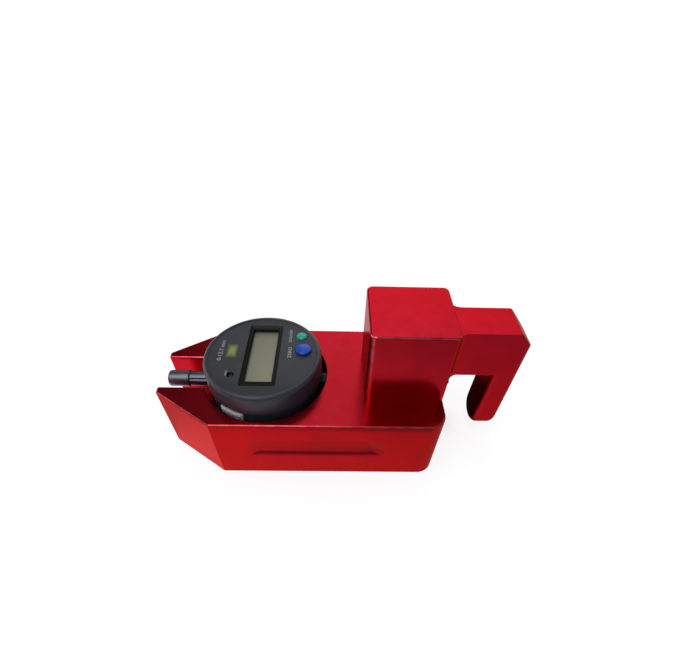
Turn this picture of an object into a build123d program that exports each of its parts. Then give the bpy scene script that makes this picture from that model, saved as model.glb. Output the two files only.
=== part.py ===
from build123d import *
import os
from math import cos, radians, sin, sqrt, tan

os.makedirs("parts", exist_ok=True)

# X runs along the gauge from the fork to the leg, Z is up, and the base's underside is Z = 0.

# Milled body: base and fork
base_length = 144.5
base_wall = 2.5
base_height = 42.2
end_corner_radius = 8.6
nose_length = 30.4
nose_corner_radius = 1.0
prong_tip_width = 3.7
slot_width = 21.0
base_edge_radius = 1.0
foot_chamfer = 0.3

# Milled body: block, arm and leg
block_length = 39.8
block_width = 37.6
block_height = 42.8
block_corner_radius = 3.0
block_edge_radius = 1.0
arm_drop = 5.0
arm_height = 27.0
arm_width = 19.2
arm_edge_radius = 0.8
leg_inner_edge_radius = 3.0
leg_outer_edge_radius = 4.6
blend_margin = 0.2
throat_width = 24.3
leg_thickness = 13.3
leg_clearance = 8.0
shoulder_run = 7.6
shoulder_fall = 8.9

# Grip groove in each side of the base
grip_height = 17.6
grip_length = 73.7
grip_middle_z = 21.05
grip_start = 43.8
grip_steepest = 32.0
grip_curve_radius = 5.5
grip_ease_radius = 9.0
grip_overrun = 0.02
grip_end_radius = 19.0
grip_end_z = 18.0
grip_end_taper = 75.0

# Indicator: place in the body
indicator_setback = 53.6
axis_z = 37.0
pocket_clearance = 2.5
pocket_depth = 12.0
pocket_chamfer = 0.3
shaft_clearance = 0.7

# Indicator: outside sizes
case_diameter = 59.0
case_front_rise = 19.2
case_back_drop = 7.4
front_case_depth = 11.7
rear_case_diameter = 56.8
case_wall = 2.1
case_edge_radius = 2.0
rim_width = 2.5
rim_chamfer = 0.3
face_recess = 0.9
face_wall = 1.6
gasket_thickness = 0.4
spigot_height = 2.2
spigot_clearance = 0.1

# Indicator: face plate and display
face_plate_thickness = 0.5
face_plate_clearance = 0.1
frame_size_x = 17.2
frame_size_y = 43.0
frame_shift_x = -0.4
frame_shift_y = 0.5
frame_corner_radius = 0.8
frame_proud = 0.15
frame_clearance = 0.1
frame_flange = 0.9
frame_flange_thickness = 1.0
glass_size_x = 12.7
glass_size_y = 36.0
glass_shift_x = 0.1
glass_shift_y = 0.1
glass_recess = 1.1
glass_lap = 0.8
window_thickness = 1.0
panel_thickness = 2.2
panel_gap = 0.1
strip_width = 1.6
strip_inset = 0.6

# Indicator: buttons
button_clearance = 0.15
button_flange = 0.6
button_flange_thickness = 0.9
button_stem_radius = 1.1
button_travel = 0.7
origin_button_radius = 4.1
origin_button_x = 20.2
origin_button_y = 2.9
origin_button_proud = 2.2
power_button_radius = 2.9
power_button_x = 18.7
power_button_y = 13.4
power_button_proud = 1.4
unit_button_radius = 1.6
unit_button_x = -13.8
unit_button_y = -14.1
unit_button_proud = -0.4
button_edge_radius = 0.6
dome_radius = 2.0
dome_height = 0.4
dome_gap = 0.2

# Indicator: board, board screws and read head
board_thickness = 1.6
board_clearance = 0.8
board_drop = 4.1
board_boss_radius = 2.1
board_screw_radius = 0.8
board_screw_head_radius = 1.5
board_screw_head_height = 1.0
board_screw_length = 4.5
boss_circle_radius = 24.0
boss_angles = (58.0, 166.0, 311.0)

# Indicator: back cover and its screws
back_cover_thickness = 1.2
back_cover_clearance = 0.1
back_screw_radius = 1.0
back_screw_head_radius = 1.8
back_screw_head_height = 0.7
back_screw_length = 5.0
post_radius = 2.6
post_circle_radius = 24.4
post_height = 5.4
post_angles = (45.0, 135.0, 225.0, 315.0)

# Indicator: stem, guard tube and the bosses that hold them
stem_diameter = 8.0
stem_length = 19.7
stem_bore_radius = 2.9
bush_length = 6.0
guard_diameter = 8.0
guard_length = 10.7
guard_bore_radius = 2.1
boss_depth = 8.4
boss_half_width = 7.0
boss_rise = 5.6
boss_fall = 5.0
seat_clearance = 0.02
running_clearance = 0.04

# Indicator: spindle line
spindle_radius = 2.5
spindle_top_radius = 2.0
spindle_nose = 8.0
spindle_travel = 12.7
travel_margin = 0.5
knob_diameter = 8.7
knob_length = 11.1
knob_gap = 0.1
knob_wall = 1.6
knob_edge_radius = 0.8
contact_reach = 7.4
contact_length = 6.8
contact_radius = 2.3
contact_ball_radius = 1.5
contact_collar = 2.6
stud_radius = 1.25
stud_length = 4.0
joint_gap = 0.05

# Indicator: carriage, guide rod, scale and return spring
carriage_length = 6.0
carriage_gap = 9.8
carriage_radius = 4.4
carriage_arm_thickness = 2.0
guide_rod_radius = 1.0
guide_rod_offset = 9.4
guide_rod_drop = 2.6
guide_rod_wall = 1.4
scale_length = 19.0
scale_width = 5.0
scale_thickness = 0.9
scale_offset = 11.0
scale_rise = 2.4
head_gap = 0.3
head_length = 11.0
spring_wire_radius = 0.2
spring_coils = 8
spring_clearance = 0.3

# Indicator: battery, tray, cover and data socket plug
battery_radius = 5.8
battery_thickness = 5.4
battery_angle = -117.5
battery_centre_radius = 19.2
tray_wall = 0.5
tray_clearance = 0.1
tray_rise = 6.7
battery_cover_width = 14.4
battery_cover_thickness = 2.0
battery_cover_height = 4.9
battery_contact_thickness = 0.3
plug_angle = 90.0
plug_width = 15.0
plug_height = 5.0
plug_depth = 5.0
plug_lip = 0.6
plug_rise = 1.6

# Stem clamp block under the stem
clamp_width = 24.0
clamp_height = 10.0
clamp_gap = 0.2
clamp_side_clearance = 0.2
clamp_margin = 1.2
clamp_screw_radius = 1.5
clamp_screw_head_radius = 2.75
clamp_screw_head_height = 3.0
clamp_screw_bite = 3.6
clamp_screw_inset_x = 3.4
clamp_screw_inset_y = 3.6
clamp_hex_radius = 1.4
clamp_hex_depth = 1.6

# Rod bush and wiper in the end of the base
rod_bush_radius = 4.5
rod_bush_length = 10.0
wiper_thickness = 1.6
wiper_clearance = 0.2

# Bottom cover and its screws
cover_thickness = 3.0
cover_clearance = 0.2
cover_edge_wall = 2.5
cover_end_wall = 6.0
cover_nose_lap = 4.5
cover_corner_radius = 4.0
cover_screw_radius = 1.5
cover_screw_head_radius = 3.0
cover_screw_length = 10.0
cover_screw_inset = 4.5
cover_screw_sink = 0.2
cover_slot_width = 0.8
cover_slot_depth = 0.9
cover_nose_screw_y = 18.0
cover_nose_screw_inset = 4.6
thread_clearance = 0.05

# Places worked out from the sizes above
overall_length = base_length + throat_width + leg_thickness
tip_x = -overall_length / 2
end_x = tip_x + base_length
leg_x = end_x + throat_width
far_x = leg_x + leg_thickness
block_x = end_x - block_length
block_top_z = base_height + block_height
arm_top_z = block_top_z - arm_drop
arm_low_z = arm_top_z - arm_height
blend_radius = block_width / 2 - block_corner_radius - arm_width / 2 - blend_margin
nose_half_width = slot_width / 2 + prong_tip_width
through = 1.0
tiny = 0.01

centre_x = tip_x + indicator_setback
case_radius = case_diameter / 2
rear_radius = rear_case_diameter / 2
pocket_radius = case_radius + pocket_clearance
half_width = pocket_radius + base_wall
shaft_radius = case_radius + shaft_clearance
face_z = axis_z + case_front_rise
split_z = face_z - front_case_depth
recess_z = face_z - face_recess
wall_low_z = recess_z - face_wall
plate_top_z = recess_z + face_plate_thickness
plate_radius = case_radius - rim_width
front_bore_radius = case_radius - case_wall
rear_bore_radius = rear_radius - case_wall
back_z = axis_z - case_back_drop
cover_seat_z = back_z + back_cover_thickness
board_top_z = wall_low_z - board_drop
board_low_z = board_top_z - board_thickness

frame_top_z = plate_top_z + frame_proud
frame_low_z = wall_low_z - frame_flange_thickness
glass_top_z = frame_top_z - glass_recess
glass_low_z = glass_top_z - window_thickness
panel_top_z = glass_low_z - panel_gap
panel_low_z = panel_top_z - panel_thickness
frame_x = centre_x + frame_shift_x
glass_x = frame_x + glass_shift_x
cell_size_x = glass_size_x + 2 * glass_lap
cell_size_y = glass_size_y + 2 * glass_lap

stem_radius = stem_diameter / 2
guard_radius = guard_diameter / 2
stem_start_x = centre_x + rear_bore_radius - boss_depth
stem_end_x = centre_x + case_radius + stem_length
guard_start_x = centre_x - rear_bore_radius + boss_depth
guard_end_x = centre_x - case_radius - guard_length
knob_near_x = guard_end_x - knob_gap
knob_far_x = knob_near_x - knob_length
spindle_end_x = stem_end_x + spindle_nose
contact_tip_x = end_x + contact_reach
contact_seat_x = contact_tip_x - contact_length
step_x = guard_start_x + spindle_travel + travel_margin
carriage_x = stem_start_x - carriage_gap - carriage_length
head_low_z = axis_z + scale_rise + scale_thickness + head_gap
guide_z = axis_z - guide_rod_drop

clamp_x0 = centre_x + pocket_radius + clamp_margin
clamp_x1 = stem_end_x - clamp_margin
clamp_top_z = axis_z - clamp_gap
clamp_low_z = clamp_top_z - clamp_height

cover_top_z = cover_thickness + cover_clearance
cover_screw_low_z = cover_clearance + cover_screw_sink
cover_x0 = centre_x - shaft_radius - cover_nose_lap
cover_x1 = end_x - cover_end_wall


def box(x0, x1, y0, y1, z0, z1):
    """Box between two opposite corners."""
    block = Box(x1 - x0, y1 - y0, z1 - z0)
    return Pos((x0 + x1) / 2, (y0 + y1) / 2, (z0 + z1) / 2) * block


def post(x, y, z0, z1, radius):
    """Upright cylinder between two heights."""
    return Pos(x, y, (z0 + z1) / 2) * Cylinder(radius, z1 - z0)


def rod(x0, x1, radius, y=0.0, z=axis_z):
    """Cylinder along X between two places."""
    return Pos((x0 + x1) / 2, y, z) * Rot(0, 90, 0) * Cylinder(radius, x1 - x0)


def at_angle(angle, radius):
    """Point on a circle round the indicator's centre."""
    turn = radians(angle)
    return centre_x + radius * cos(turn), radius * sin(turn)


def radial_box(angle, r0, r1, width, z0, z1):
    """Box that points outwards from the indicator's centre."""
    return Pos(centre_x, 0, 0) * Rot(0, 0, angle) * box(r0, r1, -width / 2, width / 2, z0, z1)


def at_x(edge, x):
    """True for an edge that lies in the upright plane at x."""
    extent = edge.bounding_box()
    return abs(extent.min.X - x) < tiny and abs(extent.max.X - x) < tiny


def across(edge):
    """True for a straight edge that runs along Y."""
    extent = edge.bounding_box().size
    return extent.X < tiny and extent.Z < tiny


def save(shape, name):
    """Write one piece to its own file."""
    shape.label = name
    export_step(shape, f"parts/{name}.step")


def group(shapes):
    """Several alike solids as one piece."""
    return Compound(children=list(shapes))


# Outline of the base seen from above, without the slot
nose_x = tip_x + nose_length


def base_outline(margin=0.0):
    """Corners of the base's outline, drawn in by a margin at its sides."""
    side = half_width - margin
    tip = nose_half_width - margin
    return [
        (tip_x, -tip),
        (nose_x, -side),
        (end_x, -side),
        (end_x, side),
        (nose_x, side),
        (tip_x, tip),
    ]


def make_base():
    """Base with its forked nose, rounded at its corners and edges."""
    base = extrude(make_face(Polyline(*base_outline(), close=True)), base_height)
    base -= box(tip_x - through, centre_x, -slot_width / 2, slot_width / 2, -through, base_height + through)
    upright = base.edges().filter_by(Axis.Z)
    base = fillet([e for e in upright if abs(e.center().X - end_x) < tiny], end_corner_radius)
    upright = base.edges().filter_by(Axis.Z)
    base = fillet([e for e in upright if e.center().X < nose_x + tiny], nose_corner_radius)
    top = base.faces().sort_by(Axis.Z)[-1]
    base = fillet([e for e in top.edges() if e.center().X < centre_x - tiny or not across(e)], base_edge_radius)
    foot = base.faces().sort_by(Axis.Z)[0]
    return chamfer(foot.edges(), foot_chamfer)


def make_block():
    """Upright block that stands on the base's far end."""
    low = base_height - end_corner_radius
    block = box(block_x, end_x, -block_width / 2, block_width / 2, low, block_top_z)
    block = fillet(block.edges().filter_by(Axis.Z), block_corner_radius)
    top = block.faces().sort_by(Axis.Z)[-1]
    return fillet(top.edges(), block_edge_radius)


def make_arm():
    """Arm and hanging leg, with the leg's lower end rounded across and its edges softened."""
    start = block_x + block_length / 2
    side = [
        (start, arm_low_z),
        (start, arm_top_z),
        (far_x - shoulder_run, arm_top_z),
        (far_x, arm_top_z - shoulder_fall),
        (far_x, leg_clearance),
        (leg_x, leg_clearance),
        (leg_x, arm_low_z),
    ]
    face = Plane.XZ * make_face(Polyline(*side, close=True))
    arm = extrude(face, arm_width / 2, both=True)
    round_end = rod(leg_x - through, far_x + through, arm_width / 2, 0, leg_clearance + arm_width / 2)
    upper = box(
        start - through, far_x + through, -arm_width, arm_width,
        leg_clearance + arm_width / 2, arm_top_z + through,
    )
    arm = arm & (round_end + upper)
    for x, radius in ((leg_x, leg_inner_edge_radius), (far_x, leg_outer_edge_radius)):
        outline = [e for e in arm.edges() if at_x(e, x) and not across(e)]
        arm = fillet(outline, radius)
    ridges = [e for e in arm.edges() if across(e) and e.center().X > leg_x + tiny]
    arm = fillet(ridges, arm_edge_radius)
    return arm


def make_shell():
    """Base, block and arm as one solid, blended where the arm leaves the block."""
    shell = make_base() + make_block() + make_arm()
    reach = arm_width / 2 + tiny
    roots = [
        e for e in shell.edges()
        if at_x(e, end_x) and arm_low_z - tiny <= e.center().Z < arm_top_z - tiny and abs(e.center().Y) <= reach
    ]
    return fillet(roots, blend_radius)


def grip_section():
    """Section of a scallop: a steep upper wall, a flat, and an easy curve out to the side below."""
    steepest = radians(grip_steepest)
    radii = grip_curve_radius + grip_ease_radius
    depth = radii * (1 - cos(steepest)) - grip_overrun
    top = grip_middle_z + grip_height / 2
    low = grip_middle_z - grip_height / 2
    outside = -half_width - through
    inside = -half_width + depth
    start = (-half_width - grip_overrun, low)
    end = (inside, low + radii * sin(steepest))
    walls = Polyline(start, (outside, low), (outside, top + through), (inside, top - depth), end)
    curve = JernArc(end, (0, -1), grip_curve_radius, -grip_steepest)
    ease = JernArc(curve @ 1, curve % 1, grip_ease_radius, grip_steepest)
    return Plane.YZ * make_face(walls + curve + ease)


def grip_cutter(side):
    """Long shallow scallop in one side of the base, run out to nothing at its ends."""
    x0 = tip_x + grip_start
    x1 = x0 + grip_length
    outside = -half_width - through
    inside = -half_width + grip_end_radius / tan(radians(grip_end_taper))
    widest = grip_end_radius + through * tan(radians(grip_end_taper))
    cone = Rot(-90, 0, 0) * Cone(widest, 0, inside - outside)
    limit = box(
        x0 + grip_end_radius, x1 - grip_end_radius, outside, inside,
        grip_end_z - grip_end_radius, grip_end_z + grip_end_radius,
    )
    for x in (x0 + grip_end_radius, x1 - grip_end_radius):
        limit += Pos(x, (outside + inside) / 2, grip_end_z) * cone
    cutter = Pos(x0, 0, 0) * extrude(grip_section(), grip_length) & limit
    return cutter if side < 0 else mirror(cutter, about=Plane.XZ)


def cover_face(gap=0.0):
    """Outline of the bottom cover, or of its recess with a gap all round."""
    side = half_width - cover_edge_wall + gap
    slope = (half_width - nose_half_width) / nose_length
    x0 = cover_x0 - gap
    x1 = cover_x1 + gap
    taper = cover_edge_wall * sqrt(1 + slope**2)
    nose_side = nose_half_width + (x0 - tip_x) * slope - taper + gap
    bend = nose_x + (side - half_width + taper - gap) / slope
    points = [(x0, -nose_side), (bend, -side), (x1, -side), (x1, side), (bend, side), (x0, nose_side)]
    face = make_face(Polyline(*points, close=True))
    return fillet(face.vertices(), cover_corner_radius)


def cover_screw_places():
    """Six screws: two beside the fork and four along the sides of the cover."""
    side = half_width - cover_edge_wall - cover_screw_inset
    near_x = centre_x + shaft_radius
    far = cover_x1 - cover_screw_inset
    nose = cover_x0 + cover_nose_screw_inset
    spots = [(nose, cover_nose_screw_y), (near_x, side), (far, side)]
    return [(x, s * y) for x, y in spots for s in (-1, 1)]


def clamp_screw_places():
    """Four screws at the corners of the clamp block."""
    xs = (clamp_x0 + clamp_screw_inset_x, clamp_x1 - clamp_screw_inset_x)
    y = clamp_width / 2 - clamp_screw_inset_y
    return [(x, s * y) for x in xs for s in (-1, 1)]


def make_body():
    """Milled body with every pocket, slot and hole."""
    body = make_shell()
    for side in (-1, 1):
        body -= grip_cutter(side)
    body -= post(centre_x, 0, base_height - pocket_depth, base_height + through, pocket_radius)
    rim = [
        e for e in body.edges().filter_by(GeomType.CIRCLE)
        if abs(e.radius - pocket_radius) < tiny and abs(e.center().Z - base_height) < tiny
    ]
    body = chamfer(rim, pocket_chamfer)
    body -= post(centre_x, 0, -through, base_height, shaft_radius)
    seat_end = stem_end_x + clamp_margin / 2
    half_channel = clamp_width / 2 + clamp_side_clearance
    body -= box(centre_x, clamp_x1 + clamp_margin / 2, -half_channel, half_channel, -through, axis_z)
    body -= rod(centre_x, seat_end, stem_radius + seat_clearance)
    body -= rod(seat_end - through, end_x + through, spindle_radius + shaft_clearance)
    body -= rod(end_x - rod_bush_length - wiper_thickness, end_x + through, rod_bush_radius + seat_clearance)
    body -= Pos(0, 0, -through) * extrude(cover_face(cover_clearance), cover_top_z + through)
    for x, y in cover_screw_places():
        body -= post(x, y, 0, cover_screw_length + cover_clearance + through, cover_screw_radius)
    for x, y in clamp_screw_places():
        body -= post(x, y, axis_z - through, axis_z + clamp_screw_bite + clamp_gap, clamp_screw_radius)
    return body


def make_bottom_cover():
    """Plate that closes the base from below, with countersunk holes."""
    plate = Pos(0, 0, cover_clearance) * extrude(cover_face(), cover_thickness)
    for x, y in cover_screw_places():
        plate -= post(x, y, 0, cover_top_z + through, cover_screw_radius + cover_clearance)
        plate -= screw_cone(x, y, cover_screw_low_z, thread_clearance)
        plate -= post(x, y, 0, cover_screw_low_z, cover_screw_head_radius + thread_clearance)
    return plate


def screw_cone(x, y, z, gap):
    """Countersunk head, widest at its lower face."""
    height = cover_screw_head_radius - cover_screw_radius
    cone = Cone(cover_screw_head_radius + gap, cover_screw_radius + gap, height)
    return Pos(x, y, z + height / 2) * cone


def make_cover_screws():
    """Countersunk screws of the bottom cover."""
    screws = []
    low = cover_screw_low_z
    for x, y in cover_screw_places():
        screw = screw_cone(x, y, low, 0)
        screw += post(x, y, low, low + cover_screw_length, cover_screw_radius - thread_clearance)
        slot = cover_screw_head_radius + tiny
        screw -= box(
            x - slot, x + slot, y - cover_slot_width / 2, y + cover_slot_width / 2,
            low - through, low + cover_slot_depth,
        )
        screws.append(screw)
    return group(screws)


def make_clamp_block():
    """Block that presses the stem up into the body's half-round seat."""
    half = clamp_width / 2
    block = box(clamp_x0, clamp_x1, -half, half, clamp_low_z, clamp_top_z)
    block -= rod(clamp_x0 - through, clamp_x1 + through, stem_radius + seat_clearance)
    head_top = clamp_low_z + clamp_screw_head_height + clamp_gap
    for x, y in clamp_screw_places():
        block -= post(x, y, clamp_low_z, clamp_top_z, clamp_screw_radius + clamp_gap)
        block -= post(x, y, clamp_low_z - through, head_top, clamp_screw_head_radius + clamp_gap)
    return block


def make_clamp_screws():
    """Socket head screws of the clamp block."""
    screws = []
    head_top = clamp_low_z + clamp_screw_head_height + clamp_gap
    head_low = head_top - clamp_screw_head_height
    for x, y in clamp_screw_places():
        screw = post(x, y, head_low, head_top, clamp_screw_head_radius)
        tip = axis_z + clamp_screw_bite
        screw += post(x, y, head_top, tip, clamp_screw_radius - thread_clearance)
        hexagon = Pos(x, y, head_low) * extrude(RegularPolygon(clamp_hex_radius, 6), clamp_hex_depth)
        screws.append(screw - hexagon)
    return group(screws)


def make_rod_bush():
    """Bronze bush that guides the extension rod in the end of the base."""
    x1 = end_x - wiper_thickness
    ring = rod(x1 - rod_bush_length, x1, rod_bush_radius)
    return ring - rod(x1 - rod_bush_length - through, x1 + through, spindle_radius + running_clearance)


def make_wiper():
    """Soft ring that keeps dirt off the extension rod."""
    ring = rod(end_x - wiper_thickness, end_x, rod_bush_radius)
    return ring - rod(end_x - wiper_thickness - through, end_x + through, spindle_radius + wiper_clearance)


def frame_block(gap, z0, z1):
    """Rounded rectangle of the display frame, grown by a gap."""
    sketch = RectangleRounded(frame_size_x + 2 * gap, frame_size_y + 2 * gap, frame_corner_radius + gap)
    return Pos(frame_x, frame_shift_y, z0) * extrude(sketch, z1 - z0)


BUTTONS = {
    "origin_button": (origin_button_x, origin_button_y, origin_button_radius, origin_button_proud),
    "power_button": (power_button_x, power_button_y, power_button_radius, power_button_proud),
    "unit_button": (unit_button_x, unit_button_y, unit_button_radius, unit_button_proud),
}


def make_front_case():
    """Front shell with its rim, sunk face, display opening and button holes."""
    case = post(centre_x, 0, split_z, face_z, case_radius)
    case = fillet(case.faces().sort_by(Axis.Z)[-1].edges(), case_edge_radius)
    case -= post(centre_x, 0, recess_z, face_z + through, plate_radius)
    rim_height = rim_chamfer
    bevel = Cone(plate_radius, plate_radius + rim_chamfer, rim_height)
    case -= Pos(centre_x, 0, face_z - rim_height / 2) * bevel
    case -= post(centre_x, 0, split_z - through, wall_low_z, front_bore_radius)
    case -= frame_block(frame_clearance, wall_low_z - through, face_z)
    for angle in boss_angles:
        x, y = at_angle(angle, boss_circle_radius)
        case += post(x, y, board_top_z, wall_low_z, board_boss_radius)
        case -= post(x, y, board_top_z - through, wall_low_z - through, board_screw_radius)
    for x, y, radius, proud in BUTTONS.values():
        case -= post(centre_x + x, y, wall_low_z - through, face_z, radius + button_clearance)
    return case


def make_face_plate():
    """Thin plate glued into the sunk face."""
    plate = post(centre_x, 0, recess_z, plate_top_z, plate_radius - face_plate_clearance)
    plate -= frame_block(frame_clearance, recess_z - through, face_z)
    for x, y, radius, proud in BUTTONS.values():
        plate -= post(centre_x + x, y, recess_z - through, face_z, radius + button_clearance)
    return plate


def make_display_frame():
    """Black frame round the display, with a flange behind the case wall."""
    frame = frame_block(0, frame_low_z, frame_top_z)
    frame += frame_block(frame_flange, frame_low_z, wall_low_z)
    opening = Pos(glass_x, glass_shift_y, (frame_low_z + frame_top_z) / 2)
    height = frame_top_z - frame_low_z + 2 * through
    frame -= opening * Box(glass_size_x, glass_size_y, height)
    rebate = box(
        glass_x - cell_size_x / 2, glass_x + cell_size_x / 2,
        glass_shift_y - cell_size_y / 2, glass_shift_y + cell_size_y / 2,
        frame_low_z - through, glass_top_z,
    )
    return frame - rebate


def cell(z0, z1, gap=0.1):
    """Rectangular layer of the display inside the frame's rebate."""
    half_x = cell_size_x / 2 - gap
    half_y = cell_size_y / 2 - gap
    return box(glass_x - half_x, glass_x + half_x, glass_shift_y - half_y, glass_shift_y + half_y, z0, z1)


def make_strips():
    """Two soft contact strips between the display and the board."""
    strips = []
    half_y = glass_size_y / 2
    for side in (-1, 1):
        x = glass_x + side * (cell_size_x / 2 - strip_width / 2 - strip_inset)
        strips.append(box(
            x - strip_width / 2, x + strip_width / 2,
            glass_shift_y - half_y, glass_shift_y + half_y, board_top_z, panel_low_z,
        ))
    return group(strips)


def make_button(x, y, radius, proud):
    """Round button with a flange behind the wall and a stem towards its dome."""
    top = plate_top_z + proud
    flange_top = wall_low_z - frame_clearance
    button = post(centre_x + x, y, flange_top - button_flange_thickness, top, radius)
    button = fillet(button.faces().sort_by(Axis.Z)[-1].edges(), button_edge_radius)
    button += post(
        centre_x + x, y, flange_top - button_flange_thickness, flange_top,
        radius + button_flange,
    )
    stem_low = board_top_z + dome_height + button_travel + dome_gap
    button += post(centre_x + x, y, stem_low, flange_top, button_stem_radius)
    return button


def make_domes():
    """Snap domes on the board, one under each button."""
    domes = []
    for x, y, radius, proud in BUTTONS.values():
        domes.append(post(centre_x + x, y, board_top_z, board_top_z + dome_height, dome_radius))
    return group(domes)


def make_board():
    """Round circuit board."""
    board = post(centre_x, 0, board_low_z, board_top_z, front_bore_radius - board_clearance)
    for angle in boss_angles:
        x, y = at_angle(angle, boss_circle_radius)
        board -= post(x, y, board_low_z - through, board_top_z + through, board_screw_radius + thread_clearance)
    return board


def make_board_screws():
    """Small screws that hold the board to the front case."""
    screws = []
    for angle in boss_angles:
        x, y = at_angle(angle, boss_circle_radius)
        shank = board_screw_radius - thread_clearance
        screw = post(x, y, board_low_z, board_low_z + board_screw_length, shank)
        head_low = board_low_z - board_screw_head_height
        screw += post(x, y, head_low, board_low_z, board_screw_head_radius)
        screws.append(screw)
    return group(screws)


def make_rear_case():
    """Rear ring with the two bosses of the spindle line and the cover's posts."""
    flange_z = split_z - gasket_thickness
    ring = post(centre_x, 0, back_z, flange_z, rear_radius)
    spigot = front_bore_radius - spigot_clearance
    ring += post(centre_x, 0, flange_z - through, split_z + spigot_height, spigot)
    ring -= post(centre_x, 0, back_z - through, split_z + spigot_height + through, rear_bore_radius)
    low = axis_z - boss_fall
    high = axis_z + boss_rise
    reach = guide_rod_offset + guide_rod_wall + guide_rod_radius
    hub = post(centre_x, 0, low, high, rear_bore_radius + case_wall / 2)
    for x0, x1 in ((stem_start_x, centre_x + rear_radius), (centre_x - rear_radius, guard_start_x)):
        ring += box(x0, x1, -reach, boss_half_width, low, high) & hub
    ring -= rod(stem_start_x - through, centre_x + case_radius, stem_radius + seat_clearance)
    ring -= rod(centre_x - case_radius, guard_start_x + through, guard_radius + seat_clearance)
    half_rod = guide_rod_ends()
    ring -= rod(half_rod[0], half_rod[1], guide_rod_radius + seat_clearance, -guide_rod_offset, guide_z)
    for angle in post_angles:
        x, y = at_angle(angle, post_circle_radius)
        inside = post(centre_x, 0, cover_seat_z, cover_seat_z + post_height, rear_bore_radius + case_wall / 2)
        ring += post(x, y, cover_seat_z, cover_seat_z + post_height, post_radius) & inside
        ring -= post(x, y, cover_seat_z - through, cover_seat_z + back_screw_length, back_screw_radius)
    tray_low = axis_z
    window = battery_radius + tray_wall + tray_clearance
    ring -= radial_box(
        battery_angle, battery_centre_radius, case_radius, 2 * window,
        tray_low, tray_low + tray_rise + tray_clearance,
    )
    ring -= plug_solid(tray_clearance)
    ring -= post(centre_x, 0, back_z - through, cover_seat_z, rear_radius - case_wall / 2)
    return ring


def guide_rod_ends():
    """Where the guide rod starts and ends in the two bosses."""
    return guard_start_x - boss_depth / 3, stem_start_x + boss_depth / 3


def make_gasket():
    """Flat ring between the two case halves."""
    ring = post(centre_x, 0, split_z - gasket_thickness, split_z, rear_radius)
    hole = front_bore_radius - spigot_clearance + seat_clearance
    return ring - post(centre_x, 0, split_z - through, split_z + through, hole)


def make_back_cover():
    """Flat round cover on the indicator's back."""
    radius = rear_radius - case_wall / 2 - back_cover_clearance
    cover = post(centre_x, 0, back_z, cover_seat_z, radius)
    for angle in post_angles:
        x, y = at_angle(angle, post_circle_radius)
        cover -= post(x, y, back_z - through, cover_seat_z + through, back_screw_radius + thread_clearance)
        cover -= post(
            x, y, back_z - through, back_z + back_screw_head_height,
            back_screw_head_radius + back_cover_clearance,
        )
    return cover


def make_back_screws():
    """Flat-headed screws of the back cover."""
    screws = []
    for angle in post_angles:
        x, y = at_angle(angle, post_circle_radius)
        screw = post(x, y, back_z, back_z + back_screw_head_height, back_screw_head_radius)
        tip = back_z + back_screw_length
        screw += post(x, y, back_z, tip, back_screw_radius - thread_clearance)
        screws.append(screw)
    return group(screws)


def make_stem():
    """Steel mounting stem of the indicator."""
    stem = rod(stem_start_x, stem_end_x, stem_radius)
    stem = chamfer(stem.faces().sort_by(Axis.X)[-1].edges(), foot_chamfer)
    return stem - rod(stem_start_x - through, stem_end_x + through, stem_bore_radius)


def make_stem_bushes():
    """Bushes at both ends of the stem's bore."""
    rings = []
    for x0 in (stem_start_x, stem_end_x - bush_length):
        ring = rod(x0, x0 + bush_length, stem_bore_radius - seat_clearance)
        ring -= rod(x0 - through, x0 + bush_length + through, spindle_radius + running_clearance)
        rings.append(ring)
    return group(rings)


def make_guard_tube():
    """Narrow tube that guards the spindle's upper end."""
    tube = rod(guard_end_x, guard_start_x, guard_radius)
    return tube - rod(guard_end_x - through, guard_start_x + through, guard_bore_radius)


def make_spindle():
    """Spindle, thinner where it runs through the guard tube."""
    shaft = rod(step_x, spindle_end_x, spindle_radius)
    shaft += rod(knob_far_x + knob_wall + joint_gap, step_x, spindle_top_radius)
    shaft -= rod(spindle_end_x - stud_length, spindle_end_x + through, stud_radius + joint_gap)
    return shaft


def make_knob():
    """Round knob screwed on the spindle's upper end."""
    knob = rod(knob_far_x, knob_near_x, knob_diameter / 2)
    knob = fillet(knob.faces().sort_by(Axis.X)[0].edges(), knob_edge_radius)
    return knob - rod(knob_far_x + knob_wall, knob_near_x + through, spindle_top_radius + joint_gap)


def make_extension_rod():
    """Rod from the spindle's nose to the contact point."""
    shaft = rod(spindle_end_x, contact_seat_x, spindle_radius)
    shaft += rod(spindle_end_x - stud_length + joint_gap, spindle_end_x, stud_radius)
    return shaft - rod(contact_seat_x - stud_length, contact_seat_x + through, stud_radius + joint_gap)


def make_contact_point():
    """Contact point with a ball end and a stud."""
    ball_x = contact_tip_x - contact_ball_radius
    profile = [
        (contact_seat_x, 0),
        (contact_seat_x, contact_radius),
        (contact_seat_x + contact_collar, contact_radius),
        (ball_x, contact_ball_radius),
        (ball_x, 0),
    ]
    outline = Pos(0, 0, axis_z) * (Plane.XZ * make_face(Polyline(*profile, close=True)))
    line = Axis((0, 0, axis_z), (1, 0, 0))
    contact = revolve(outline, line)
    contact += Pos(ball_x, 0, axis_z) * Sphere(contact_ball_radius)
    return contact + rod(contact_seat_x - stud_length + joint_gap, contact_seat_x, stud_radius)


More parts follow.
